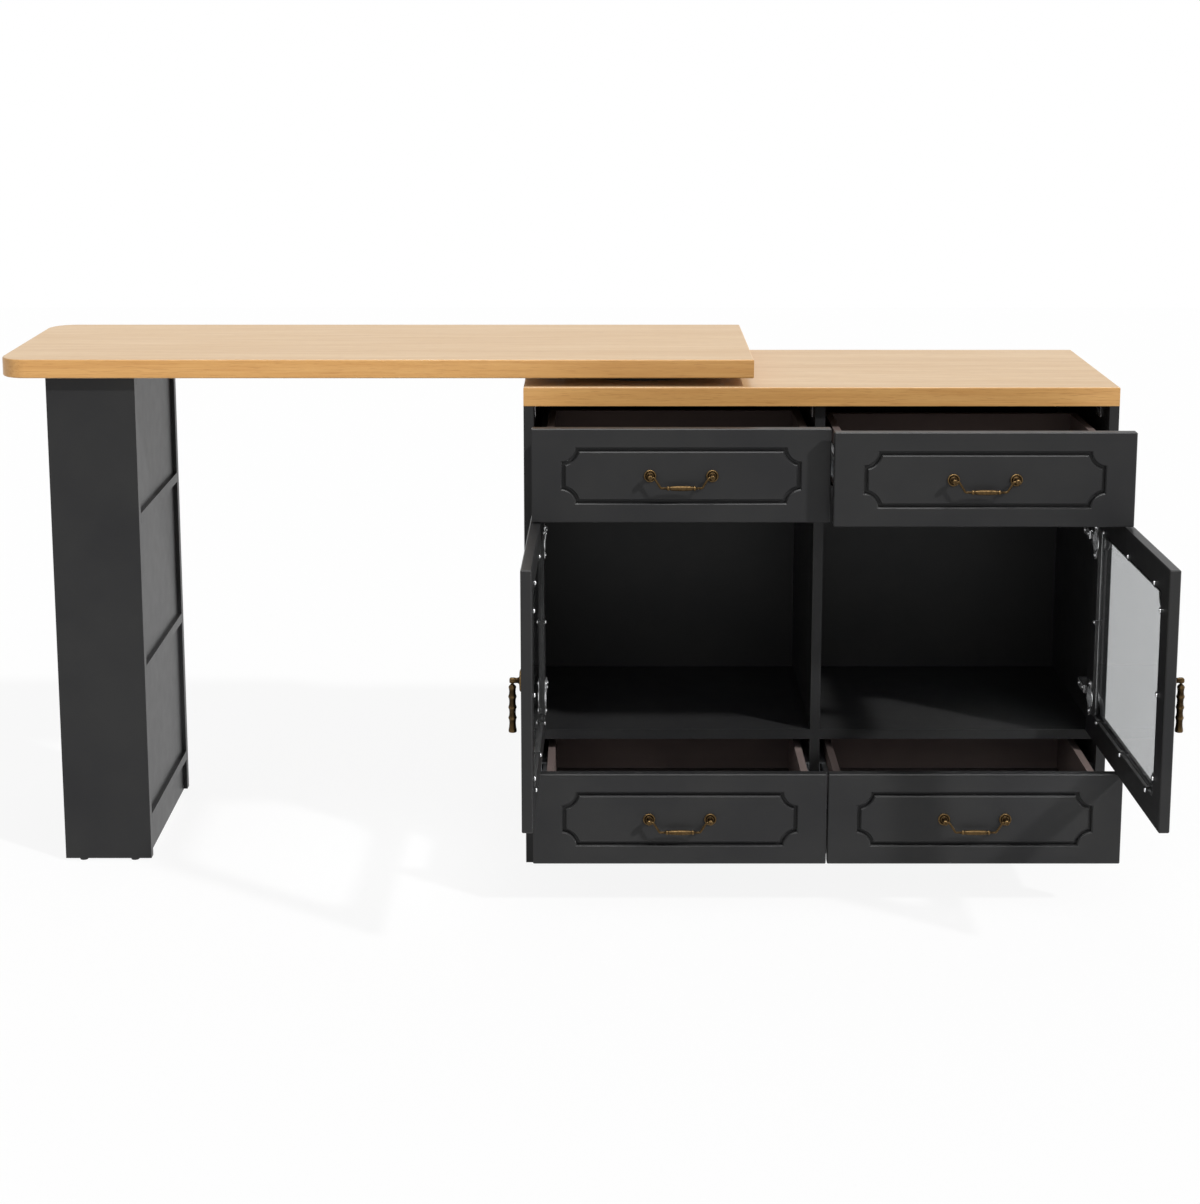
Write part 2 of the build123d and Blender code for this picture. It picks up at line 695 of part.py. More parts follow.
# Hinge arms on both side panels, each with a knuckle on its pin
with BuildPart() as hinge_arms:
    for hinge_mark in hinge_marks:
        hinge_z = door_mid_z + hinge_mark[1]
        arm_mid_y = front + (ARM_START + ARM_END) / 2
        neck_end = front + ARM_START + NECK_T
        with BuildSketch(Plane.XY.offset(hinge_z - ARM_H / 2)):
            with Locations(hinge_axis):
                Circle(KNUCKLE_R)
            with Locations((hinge_axis[0], (hinge_axis[1] + neck_end) / 2)):
                Rectangle(NECK_T, neck_end - hinge_axis[1])
            with Locations((in_r - ARM_T / 2, arm_mid_y)):
                Rectangle(ARM_T, ARM_END - ARM_START)
            with Locations(hinge_axis):
                Circle(PIN_R + RUN_CLEAR, mode=Mode.SUBTRACT)
        extrude(amount=ARM_H)
        plate_y = (front + ARM_END - PLATE_L, front + ARM_END)
        block((in_r - PLATE_T, in_r), plate_y, about(hinge_z, PLATE_H / 2))
    mirror(about=cabinet_middle)
save(hinge_arms, "hinge_arms")

# Drop pull near the free edge of the door: a forked post with a cross pin, and the bar on it
pull_x = PULL_EDGE - door_w / 2
pull_face = Plane(
    origin=door_face.from_local_coords((pull_x, PULL_UP, 0)),
    x_dir=door_x_dir,
    z_dir=door_out_dir,
)
drop_pin = Plane(
    origin=pull_face.from_local_coords((0, 0, PULL_STAND)),
    x_dir=door_out_dir,
    z_dir=(-door_turn[0], -door_turn[1], 0),
)
with BuildPart() as right_pull_rosette:
    with BuildSketch(pull_face):
        Circle(PULL_ROSETTE_R)
    extrude(amount=PULL_ROSETTE_T)
    fillet(right_pull_rosette.faces().sort_by(Axis.X)[-1].edges(), PULL_ROSETTE_T / 2)
    with BuildSketch(pull_face):
        Circle(PULL_POST_R)
    extrude(amount=PULL_STAND + PULL_POST_END)
    fork_depth = 2 * PULL_POST_END + EYE_R
    with BuildSketch(pull_face.offset(PULL_STAND + PULL_POST_END)):
        Rectangle(PULL_SLOT, 2 * PULL_POST_R)
    extrude(amount=-fork_depth, mode=Mode.SUBTRACT)
    with BuildSketch(drop_pin):
        Circle(PIN_R)
    extrude(amount=PULL_POST_R - PIN_R / 2, both=True)
save(right_pull_rosette, "right_pull_rosette")
mirrored(right_pull_rosette, "left_pull_rosette")

drop_top = Plane.XY.offset(door_mid_z + PULL_UP - DROP_GAP)
drop_at = (drop_pin.origin.X, drop_pin.origin.Y)
with BuildPart() as right_pull_drop:
    with BuildSketch(drop_top):
        with Locations(drop_at):
            Circle(DROP_R)
    extrude(amount=-DROP_L)
    fillet(right_pull_drop.faces().filter_by(Axis.Z).edges(), DROP_END_R)
    for n in range(DROP_RINGS):
        ring_down = (DROP_L - DROP_RING_L) * (n + 1) / (DROP_RINGS + 1)
        with BuildSketch(drop_top.offset(-ring_down)):
            with Locations(drop_at):
                Circle(DROP_RING_R)
        extrude(amount=-DROP_RING_L)
    with BuildSketch(drop_pin):
        Circle(EYE_R)
        with Locations((0, -(DROP_GAP + STEM_IN) / 2)):
            Rectangle(STEM_W, DROP_GAP + STEM_IN)
    extrude(amount=EYE_T / 2, both=True)
    with BuildSketch(drop_pin):
        Circle(PIN_R + RUN_CLEAR)
    extrude(amount=EYE_T, both=True, mode=Mode.SUBTRACT)
save(right_pull_drop, "right_pull_drop")
mirrored(right_pull_drop, "left_pull_drop")
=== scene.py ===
"""Dresses the bar table: paint, oak, brass, steel and glass, with finer fronts, pulls and fittings.

Sizes are in millimetres and are turned to metres where a mesh is made. The studio's are in metres.
"""

import json
import math

import bpy
from mathutils import Matrix, Vector


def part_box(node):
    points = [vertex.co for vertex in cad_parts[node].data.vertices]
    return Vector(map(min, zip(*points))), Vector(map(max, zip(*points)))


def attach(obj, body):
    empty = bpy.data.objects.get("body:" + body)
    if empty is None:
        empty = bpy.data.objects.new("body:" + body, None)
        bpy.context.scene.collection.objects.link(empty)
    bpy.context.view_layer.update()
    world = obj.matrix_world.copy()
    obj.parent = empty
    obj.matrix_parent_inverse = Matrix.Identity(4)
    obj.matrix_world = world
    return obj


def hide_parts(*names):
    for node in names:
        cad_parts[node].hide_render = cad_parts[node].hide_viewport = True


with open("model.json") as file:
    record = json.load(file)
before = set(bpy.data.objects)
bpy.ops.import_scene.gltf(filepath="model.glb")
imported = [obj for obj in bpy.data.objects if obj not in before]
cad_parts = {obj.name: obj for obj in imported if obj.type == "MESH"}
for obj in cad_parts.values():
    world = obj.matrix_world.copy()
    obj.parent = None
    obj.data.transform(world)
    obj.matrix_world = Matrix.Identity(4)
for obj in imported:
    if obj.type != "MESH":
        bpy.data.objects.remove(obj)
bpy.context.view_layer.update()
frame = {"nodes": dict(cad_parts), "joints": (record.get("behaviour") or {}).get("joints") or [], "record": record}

MM = 0.001

# Material slots of the record
PAINT = "charcoal_paint"
OAK = "oak"
BRASS = "antique_brass"
STEEL = "zinc_steel"
GLASS = "grey_glass"
NYLON = "black_nylon"
BLACK = "black_steel"

# Turns that lay an upright piece down, with its top to that side
TO_FRONT = (math.pi / 2, 0, 0)
TO_REAR = (-math.pi / 2, 0, 0)
TO_RIGHT = (0, math.pi / 2, 0)
TO_LEFT = (0, -math.pi / 2, 0)

# Faces that meet at fewer degrees than this are smoothed, on boards and on turned work
BOARD_SMOOTH = 12.0
TURNED_SMOOTH = 50.0

# Pan-head screw and the cross in its head
HEAD_H = 2.2
CROSS_W = 0.8
CROSS_L = 3.2
CROSS_H = 2.0

# Drawer front and its routed line
FRONT_T = 17.0
SOFT = 1.5
GROOVE_SIDE = 46.5
GROOVE_END = 30.0
GROOVE_W = 9.0
GROOVE_DEPTH = 7.5
GROOVE_SLOPE = 2.0
GROOVE_STEP = 0.1
SCOOP_R = 23.0

# Bail pull
BAIL_SPAN = 100.0
BAIL_OFF = 15.0
BAIL_DROP = 17.0
BAIL_BAR = 66.0
ROD_R = 1.85
ROD_GAP = 0.08
BEND_R = 4.0
POST_R = 4.5

# Drawer half of a ball slide, with the places of its slots and screws as shares of its length
SLIDE_T = 1.4
SLIDE_DEEP = 10.0
SLIDE_LIP = 4.5
RIB_OUT = 1.6
RIB_H = 3.0
RIB_SHORT = 24.0
SLOT_L = 16.0
SLOT_H = 5.0
SLOT_CUT = 20.0
SLOT_PLACES = (-0.4, -0.15, 0.15, 0.4)
SLIDE_SCREWS = (-0.28, 0, 0.28)

# Glazed door, and the place of its hinge pin
DOOR_W = 479.0
DOOR_H = 410.0
DOOR_OPEN = 91.0
PIN_IN = 2.8
PIN_BACK = 4.5
REBATE_IN = 42.5
LIP_W = 10.0
LIP_T = 8.0
LIP_SLOPE = 4.0
GLASS_T = 4.0
DOOR_SCOOP_R = 25.0

# Bores and pockets for the hinges of a door
HINGE_UP = 137.0
CUP_IN = 24.6
CUP_R = 17.5
CUP_DEPTH = 11.0
POCKET = (12.0, 31.4, 19.6)

# Black sheet of painted shade round the glass, and the screws of the glass clips and cup flanges
SHADE_SHEET_GAP = 0.05
SHADE_SHEET_T = 0.4
SHADE_SHEET_SHORT = 0.3
CLIP_T = 1.2
CLIP_SCREW_IN = 2.5
CLIP_SPREAD_X = 160.0
CLIP_SPREAD_Z = 132.0
FLANGE_SCREW_UP = 24.0

# Plate and cover of a hinge arm
PLATE_T = 2.5
PLATE_SCREW_UP = 17.0
PLATE_SCREW_BACK = 15.0
COVER_OUT = 17.0
COVER_L = 48.0
COVER_H = 15.0
COVER_BACK = 3.0
COVER_SOFT = 1.2
COVER_SCREWS = (12.0, 38.0)
SCREW_SINK = 0.3

# Drop pull of a door
PULL_X = -214.5
PULL_UP = 28.0
PULL_STAND = 14.0
DROP_GAP = 7.2
FORK_SLOT = (4.4, 13.0, 12.0)
FORK_OUT = 2.0
PULL_PIN_R = 1.5
PULL_PIN_L = 8.6
EYE_R = 4.0
EYE_T = 3.8
EYE_BORE_R = 1.58
EYE_SOFT = 0.6

# Rows of screws in the cabinet's back
BACK_SCREW_IN = 30.0
BACK_SCREW_COUNT = 7

# Studio, in metres, watts and degrees: a soft box has its place, its size and its power
FLOOR_SIZE = 14
FLOOR_DOWN = 0.0005
FLOOR_GLOW = 0.9
ROOM_FILL = 0.52
KEY_PLACE = (3, -2.5, 3)
KEY_HEADING = (-1.4, 1.0, -1.35)
KEY_STRENGTH = 3.0
KEY_ANGLE = 3
SOFT_BOXES = {
    "overhead": ((0.2, -0.5, 2.9), (3.0, 0.9), 105),
    "side": ((3.4, -0.3, 0.6), (1.2, 1.2), 13),
}
SOFT_BOX_AIM = (0.2, -0.2, 0.6)
CAMERA_PLACE = (0.0642, -3.6402, 1.4947)
CAMERA_DOWN = 10
CAMERA_SENSOR = 36
CAMERA_LENS = 66.68
CAMERA_SHIFT = -0.18


def linear(shade):
    """Turns an sRGB hex colour to the linear RGBA that the shaders take."""
    parts = [int(shade[n:n + 2], 16) / 255 for n in (1, 3, 5)]
    return (*[c / 12.92 if c <= 0.04045 else ((c + 0.055) / 1.055) ** 2.4 for c in parts], 1.0)


def add_node(tree, kind, inputs=None, **settings):
    """Adds a node, with its settings, and links or sets its inputs."""
    node = tree.nodes.new(kind)
    for name, value in settings.items():
        setattr(node, name, value)
    for socket, value in (inputs or {}).items():
        if isinstance(value, bpy.types.NodeSocket):
            tree.links.new(value, node.inputs[socket])
        else:
            node.inputs[socket].default_value = value
    return node


def new_material(name):
    """An empty node material with its output and object coordinates."""
    material = bpy.data.materials.new(name)
    material.use_nodes = True
    tree = material.node_tree
    tree.nodes.clear()
    coords = add_node(tree, "ShaderNodeTexCoord")
    output = add_node(tree, "ShaderNodeOutputMaterial")
    return material, tree, coords, output


def make_lacquer(name, dark, light, gloss):
    """Sprayed satin lacquer on MDF: an even dark coat, with a faint cloudiness and orange peel."""
    material, tree, coords, output = new_material(name)
    cloud = add_node(tree, "ShaderNodeTexNoise", {
        "Vector": coords.outputs["Object"], "Scale": 1 / (140 * MM), "Detail": 3.0,
    })
    tone = add_node(tree, "ShaderNodeMapRange", {
        "Value": cloud.outputs[0], "From Min": 0.35, "From Max": 0.65,
    })
    colour = add_node(tree, "ShaderNodeMix", {
        0: tone.outputs[0], 6: linear(dark), 7: linear(light),
    }, data_type="RGBA")
    haze = add_node(tree, "ShaderNodeTexNoise", {
        "Vector": coords.outputs["Object"], "Scale": 1 / (28 * MM), "Detail": 4.0,
    })
    roughness = add_node(tree, "ShaderNodeMapRange", {
        "Value": haze.outputs[0], "From Min": 0.3, "From Max": 0.7,
        "To Min": gloss - 0.015, "To Max": gloss + 0.02,
    })
    # Real orange peel is finer than 1 mm; it is drawn at 2.5 mm so that it shows
    peel = add_node(tree, "ShaderNodeTexNoise", {
        "Vector": coords.outputs["Object"], "Scale": 1 / (2.5 * MM), "Detail": 2.0,
    })
    bump = add_node(tree, "ShaderNodeBump", {
        "Height": peel.outputs[0], "Strength": 0.01, "Distance": 0.05 * MM,
    })
    shader = add_node(tree, "ShaderNodeBsdfPrincipled", {
        "Base Color": colour.outputs[2], "Roughness": roughness.outputs[0],
        "Normal": bump.outputs[0], "IOR": 1.5, "Specular IOR Level": 0.16,
    })
    tree.links.new(shader.outputs[0], output.inputs[0])
    return material


def make_oak():
    """Light oak veneer under satin lacquer: long pale figure, fine straight grain and short dark pores."""
    material, tree, coords, output = new_material("Lacquered light oak veneer")
    # The grain runs along X, and along Y on the bands that close the ends
    place = add_node(tree, "ShaderNodeSeparateXYZ", {0: coords.outputs["Object"]})
    normal = add_node(tree, "ShaderNodeSeparateXYZ", {0: coords.outputs["Normal"]})
    endwards = add_node(tree, "ShaderNodeMath", {0: normal.outputs[0]}, operation="ABSOLUTE")
    at_end = add_node(tree, "ShaderNodeMath", {0: endwards.outputs[0], 1: 0.7}, operation="GREATER_THAN")
    turned_place = add_node(tree, "ShaderNodeCombineXYZ", {
        0: place.outputs[1], 1: place.outputs[0], 2: place.outputs[2],
    })
    along = add_node(tree, "ShaderNodeMix", {
        0: at_end.outputs[0], 4: coords.outputs["Object"], 5: turned_place.outputs[0],
    }, data_type="VECTOR")
    figure_place = add_node(tree, "ShaderNodeMapping", {
        "Vector": along.outputs[1], "Scale": (1 / (700 * MM), 1 / (38 * MM), 1 / (38 * MM)),
    })
    figure = add_node(tree, "ShaderNodeTexNoise", {
        "Vector": figure_place.outputs[0], "Scale": 1.0, "Detail": 3.0, "Distortion": 0.5,
    })
    grain_place = add_node(tree, "ShaderNodeMapping", {
        "Vector": along.outputs[1], "Scale": (1 / (160 * MM), 1 / (3.5 * MM), 1 / (3.5 * MM)),
    })
    grain = add_node(tree, "ShaderNodeTexNoise", {
        "Vector": grain_place.outputs[0], "Scale": 1.0, "Detail": 5.0, "Roughness": 0.6,
    })
    # Oak pores are about 0.3 mm wide; they are drawn at 1.1 mm so that they show
    pore_place = add_node(tree, "ShaderNodeMapping", {
        "Vector": along.outputs[1], "Scale": (1 / (26 * MM), 1 / (1.1 * MM), 1 / (1.1 * MM)),
    })
    pores = add_node(tree, "ShaderNodeTexNoise", {
        "Vector": pore_place.outputs[0], "Scale": 1.0, "Detail": 1.0,
    })
    pore_mask = add_node(tree, "ShaderNodeMapRange", {
        "Value": pores.outputs[0], "From Min": 0.58, "From Max": 0.72, "To Max": 0.42,
    })
    figure_tone = add_node(tree, "ShaderNodeMapRange", {
        "Value": figure.outputs[0], "From Min": 0.3, "From Max": 0.7,
    })
    grain_tone = add_node(tree, "ShaderNodeMapRange", {
        "Value": grain.outputs[0], "From Min": 0.32, "From Max": 0.68, "To Max": 0.6,
    })
    # The top is painted paler and greyer than the edge banding: a painted sheen, for the light that the lacquered
    # top reflects
    upwards = add_node(tree, "ShaderNodeMath", {0: normal.outputs[2]}, operation="ABSOLUTE")
    top_sheen_mask = add_node(tree, "ShaderNodeMath", {0: upwards.outputs[0], 1: 0.7}, operation="GREATER_THAN")
    edge_and_top_sheen_tones = []
    # The first tones are for the edges; the second, paler and greyer, are for the top with its painted sheen
    for dark, light, streak, pore in (
        ("#c99654", "#d8a868", "#bb8446", "#9f6932"), ("#cba87b", "#d9bb92", "#c09a69", "#a98259"),
    ):
        ground = add_node(tree, "ShaderNodeMix", {
            0: figure_tone.outputs[0], 6: linear(dark), 7: linear(light),
        }, data_type="RGBA")
        grained = add_node(tree, "ShaderNodeMix", {
            0: grain_tone.outputs[0], 6: ground.outputs[2], 7: linear(streak),
        }, data_type="RGBA")
        edge_and_top_sheen_tones.append(add_node(tree, "ShaderNodeMix", {
            0: pore_mask.outputs[0], 6: grained.outputs[2], 7: linear(pore),
        }, data_type="RGBA"))
    colour = add_node(tree, "ShaderNodeMix", {
        0: top_sheen_mask.outputs[0], 6: edge_and_top_sheen_tones[0].outputs[2], 7: edge_and_top_sheen_tones[1].outputs[2],
    }, data_type="RGBA")
    roughness = add_node(tree, "ShaderNodeMapRange", {
        "Value": grain.outputs[0], "From Min": 0.3, "From Max": 0.7, "To Min": 0.34, "To Max": 0.44,
    })
    bump = add_node(tree, "ShaderNodeBump", {
        "Height": grain.outputs[0], "Strength": 0.08, "Distance": 0.2 * MM,
    })
    shader = add_node(tree, "ShaderNodeBsdfPrincipled", {
        "Base Color": colour.outputs[2], "Roughness": roughness.outputs[0],
        "Normal": bump.outputs[0], "IOR": 1.5,
    })
    tree.links.new(shader.outputs[0], output.inputs[0])
    return material


def make_antique_brass():
    """Antiqued cast brass: brown in its hollows, dull gold on the high spots, partly rubbed wear and partly a
    painted highlight along the edges.
    """
    material, tree, coords, output = new_material("Antiqued cast brass")
    geometry = add_node(tree, "ShaderNodeNewGeometry")
    patches = add_node(tree, "ShaderNodeTexNoise", {
        "Vector": coords.outputs["Object"], "Scale": 1 / (4 * MM), "Detail": 4.0,
    })
    # Sharp high spots turn dull gold: partly rubbed wear, partly a painted highlight along the edges
    wear_and_highlight_spots = add_node(tree, "ShaderNodeMapRange", {
        "Value": geometry.outputs["Pointiness"], "From Min": 0.49, "From Max": 0.6,
    })
    wear_and_painted_highlight = add_node(tree, "ShaderNodeMath", {
        0: wear_and_highlight_spots.outputs[0], 1: patches.outputs[0],
    }, operation="MULTIPLY")
    ground = add_node(tree, "ShaderNodeMix", {
        0: patches.outputs[0], 6: linear("#130e09"), 7: linear("#382b1b"),
    }, data_type="RGBA")
    colour = add_node(tree, "ShaderNodeMix", {
        0: wear_and_painted_highlight.outputs[0], 6: ground.outputs[2], 7: linear("#a08257"),
    }, data_type="RGBA")
    roughness = add_node(tree, "ShaderNodeMapRange", {
        "Value": patches.outputs[0], "From Min": 0.3, "From Max": 0.7, "To Min": 0.5, "To Max": 0.32,
    })
    bump = add_node(tree, "ShaderNodeBump", {
        "Height": patches.outputs[0], "Strength": 0.15, "Distance": 0.2 * MM,
    })
    shader = add_node(tree, "ShaderNodeBsdfPrincipled", {
        "Base Color": colour.outputs[2], "Metallic": 1.0, "Roughness": roughness.outputs[0],
        "Normal": bump.outputs[0],
    })
    tree.links.new(shader.outputs[0], output.inputs[0])
    return material


def make_zinc_steel(name, dark, light, gloss):
    """Zinc on pressed steel: pale, a little cloudy, with faint drawing lines."""
    material, tree, coords, output = new_material(name)
    cloud = add_node(tree, "ShaderNodeTexNoise", {
        "Vector": coords.outputs["Object"], "Scale": 1 / (9 * MM), "Detail": 3.0,
    })
    colour = add_node(tree, "ShaderNodeMix", {
        0: cloud.outputs[0], 6: linear(dark), 7: linear(light),
    }, data_type="RGBA")
    # Real drawing lines are about 0.1 mm apart; they are drawn at 1.2 mm so that they show
    line_place = add_node(tree, "ShaderNodeMapping", {
        "Vector": coords.outputs["Object"], "Scale": (1 / (1.2 * MM), 1 / (40 * MM), 1 / (1.2 * MM)),
    })
    lines = add_node(tree, "ShaderNodeTexNoise", {"Vector": line_place.outputs[0], "Scale": 1.0})
    roughness = add_node(tree, "ShaderNodeMapRange", {
        "Value": lines.outputs[0], "From Min": 0.3, "From Max": 0.7,
        "To Min": gloss - 0.05, "To Max": gloss + 0.05,
    })
    shader = add_node(tree, "ShaderNodeBsdfPrincipled", {
        "Base Color": colour.outputs[2], "Metallic": 0.78, "Roughness": roughness.outputs[0],
    })
    tree.links.new(shader.outputs[0], output.inputs[0])
    return material


def make_float_glass():
    """Grey-tinted float glass: flat and clear, with the faintest ripple."""
    material, tree, coords, output = new_material("Grey float glass")
    ripple = add_node(tree, "ShaderNodeTexNoise", {
        "Vector": coords.outputs["Object"], "Scale": 1 / (160 * MM), "Detail": 1.0,
    })
    colour = add_node(tree, "ShaderNodeMix", {
        0: ripple.outputs[0], 6: linear("#dcdedf"), 7: linear("#e0e2e3"),
    }, data_type="RGBA")
    bump = add_node(tree, "ShaderNodeBump", {
        "Height": ripple.outputs[0], "Strength": 0.02, "Distance": 0.2 * MM,
    })
    shader = add_node(tree, "ShaderNodeBsdfPrincipled", {
        "Base Color": colour.outputs[2], "Roughness": 0.02, "IOR": 1.5,
        "Transmission Weight": 1.0, "Normal": bump.outputs[0],
    })
    tree.links.new(shader.outputs[0], output.inputs[0])
    return material


def make_gap_shade_black():
    """Near-black steel: painted shade for the parts in the dark gap under the swivel top, a little oily, with a
    mottled sheen.
    """
    material, tree, coords, output = new_material("Steel painted black as gap shade")
    mottle = add_node(tree, "ShaderNodeTexNoise", {
        "Vector": coords.outputs["Object"], "Scale": 1 / (6 * MM), "Detail": 3.0,
    })
    # The near-black colour is painted shade, so that the parts in the gap read as its shade
    colour = add_node(tree, "ShaderNodeMix", {
        0: mottle.outputs[0], 6: linear("#17130f"), 7: linear("#2a221c"),
    }, data_type="RGBA")
    roughness = add_node(tree, "ShaderNodeMapRange", {
        "Value": mottle.outputs[0], "To Min": 0.35, "To Max": 0.55,
    })
    shader = add_node(tree, "ShaderNodeBsdfPrincipled", {
        "Base Color": colour.outputs[2], "Metallic": 0.6, "Roughness": roughness.outputs[0],
    })
    tree.links.new(shader.outputs[0], output.inputs[0])
    return material


def make_nylon():
    """Moulded black nylon: matt, with a fine spark-eroded grain."""
    material, tree, coords, output = new_material("Moulded black nylon")
    # Real spark-eroded grain is about 0.1 mm wide; it is drawn at 0.8 mm so that it shows
    grit = add_node(tree, "ShaderNodeTexNoise", {
        "Vector": coords.outputs["Object"], "Scale": 1 / (0.8 * MM), "Detail": 2.0,
    })
    colour = add_node(tree, "ShaderNodeMix", {
        0: grit.outputs[0], 6: linear("#121212"), 7: linear("#1f1f1f"),
    }, data_type="RGBA")
    bump = add_node(tree, "ShaderNodeBump", {
        "Height": grit.outputs[0], "Strength": 0.2, "Distance": 0.1 * MM,
    })
    shader = add_node(tree, "ShaderNodeBsdfPrincipled", {
        "Base Color": colour.outputs[2], "Roughness": 0.6, "Normal": bump.outputs[0],
    })
    tree.links.new(shader.outputs[0], output.inputs[0])
    return material


def seen_by_eye(tree):
    """Gives 1 where the camera looks, straight or by way of gloss or glass, and 0 for other light."""
    light_path = add_node(tree, "ShaderNodeLightPath")
    seen = add_node(tree, "ShaderNodeMath", {
        0: light_path.outputs["Is Camera Ray"], 1: light_path.outputs["Is Glossy Ray"],
    }, operation="MAXIMUM")
    seen_through = add_node(tree, "ShaderNodeMath", {
        0: seen.outputs[0], 1: light_path.outputs["Is Transmission Ray"],
    }, operation="MAXIMUM")
    return seen_through.outputs[0]


def select_only(piece):
    """Makes one object the only selected and the active one."""
    bpy.ops.object.select_all(action="DESELECT")
    piece.select_set(True)
    bpy.context.view_layer.objects.active = piece


def settle(piece, name, material, body, slot, *nodes):
    """Names a finished piece, gives it its finish, ties it to its body and hides the CAD nodes it stands in for.
    """
    select_only(piece)
    bpy.ops.object.transform_apply(location=True, rotation=True, scale=True)
    piece.name = name
    piece.data.name = name
    piece.data.materials.clear()
    piece.data.materials.append(material)
    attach(piece, body)
    if nodes:
        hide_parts(*nodes)


def add_block(size, middle):
    """A block of the given size round its middle."""
    bpy.ops.mesh.primitive_cube_add(size=1, location=[m * MM for m in middle])
    piece = bpy.context.object
    piece.scale = [s * MM for s in size]
    bpy.ops.object.transform_apply(location=True, rotation=True, scale=True)
    return piece


def add_rod(radius, length, middle, turn=(0, 0, 0), sides=64):
    """A round bar with its middle given, upright unless it is turned."""
    bpy.ops.mesh.primitive_cylinder_add(
        vertices=sides, radius=radius * MM, depth=length * MM,
        location=[m * MM for m in middle], rotation=turn,
    )
    bpy.ops.object.transform_apply(location=True, rotation=True, scale=True)
    return bpy.context.object


def join(pieces):
    """Joins several meshes to one."""
    select_only(pieces[0])
    for piece in pieces:
        piece.select_set(True)
    bpy.ops.object.join()
    return bpy.context.object


def cut(piece, cutter):
    """Cuts one solid with another, which is then thrown away."""
    modifier = piece.modifiers.new("cut", "BOOLEAN")
    modifier.operation = "DIFFERENCE"
    modifier.solver = "EXACT"
    modifier.use_self = True
    modifier.object = cutter
    select_only(piece)
    bpy.ops.object.modifier_apply(modifier=modifier.name)
    bpy.data.objects.remove(cutter)


def smooth(piece, degrees):
    """Smooths the shading between faces that meet at fewer degrees than this."""
    select_only(piece)
    bpy.ops.object.shade_smooth_by_angle(angle=math.radians(degrees))


def soften(piece, width, segments=3, angle=40):
    """Rounds all sharp edges a little and smooths the shading between them."""
    modifier = piece.modifiers.new("soft edges", "BEVEL")
    modifier.width = width * MM
    modifier.segments = segments
    modifier.limit_method = "ANGLE"
    modifier.angle_limit = math.radians(angle)
    modifier.use_clamp_overlap = False
    select_only(piece)
    bpy.ops.object.modifier_apply(modifier=modifier.name)
    smooth(piece, BOARD_SMOOTH)


def drawn_in(board, end, width, depth, beyond):
    """Draws one end of a board on edge in to a slope, and then on beyond it.

    The end is 1 for the rear and -1 for the face.
    """
    select_only(board)
    bpy.ops.object.mode_set(mode="EDIT")
    bpy.ops.mesh.select_mode(type="FACE")
    bpy.ops.mesh.select_all(action="DESELECT")
    bpy.ops.object.mode_set(mode="OBJECT")
    for face in board.data.polygons:
        face.select = face.normal.y * end > 0.9
    bpy.ops.object.mode_set(mode="EDIT")
    bpy.ops.mesh.inset(thickness=width * MM, depth=depth * MM)
    bpy.ops.mesh.extrude_region_move(TRANSFORM_OT_translate={"value": (0, end * beyond * MM, 0)})
    bpy.ops.object.mode_set(mode="OBJECT")
    return board


def scooped_block(width, height, depth, inset, scoop):
    """A board on edge, from y 0 to depth, with a quarter circle scooped out of each corner."""
    board = add_block((width - 2 * inset, depth, height - 2 * inset), (0, depth / 2, 0))
    corners = [(x * width / 2, depth / 2, z * height / 2) for x in (-1, 1) for z in (-1, 1)]
    rods = [add_rod(scoop + inset, 3 * depth, corner, TO_FRONT, sides=96) for corner in corners]
    cut(board, join(rods))
    return board


def turned(profile, sides=40):
    """A lathe-turned solid on Z: a disc is extruded from height to height and scaled to each radius."""
    first_radius, height = profile[0]
    bpy.ops.mesh.primitive_circle_add(
        vertices=sides, radius=first_radius * MM, fill_type="NGON", location=(0, 0, height * MM),
    )
    piece = bpy.context.object
    bpy.ops.object.transform_apply(location=True, rotation=True, scale=True)
    bpy.ops.object.mode_set(mode="EDIT")
    bpy.ops.mesh.select_all(action="SELECT")
    for (r0, z0), (r1, z1) in zip(profile, profile[1:]):
        bpy.ops.mesh.extrude_region_move(TRANSFORM_OT_translate={"value": (0, 0, (z1 - z0) * MM)})
        share = r1 / r0
        bpy.ops.transform.resize(value=(share, share, 1), center_override=(0, 0, z1 * MM))
    bpy.ops.mesh.select_all(action="SELECT")
    bpy.ops.mesh.normals_make_consistent(inside=False)
    bpy.ops.object.mode_set(mode="OBJECT")
    smooth(piece, TURNED_SMOOTH)
    return piece


def move(piece, place=(0, 0, 0), turn=(0, 0, 0)):
    """Turns a mesh about the origin and moves it to its place."""
    piece.rotation_euler = turn
    piece.location = [p * MM for p in place]
    select_only(piece)
    bpy.ops.object.transform_apply(location=True, rotation=True, scale=True)
    return piece


def copy_of(piece, matrix=None):
    """A copy with its own mesh, moved by a matrix if one is given."""
    select_only(piece)
    bpy.ops.object.duplicate()
    twin = bpy.context.object
    if matrix is not None:
        twin.matrix_world = matrix
        bpy.ops.object.transform_apply(location=True, rotation=True, scale=True)
        if matrix.determinant() < 0:
            bpy.ops.object.mode_set(mode="EDIT")
            bpy.ops.mesh.select_all(action="SELECT")
            bpy.ops.mesh.flip_normals()
            bpy.ops.object.mode_set(mode="OBJECT")
    return twin


def copies_at(piece, places, turn=(0, 0, 0)):
    """Copies of a piece, each turned and moved to its place."""
    return [move(copy_of(piece), place, turn) for place in places]


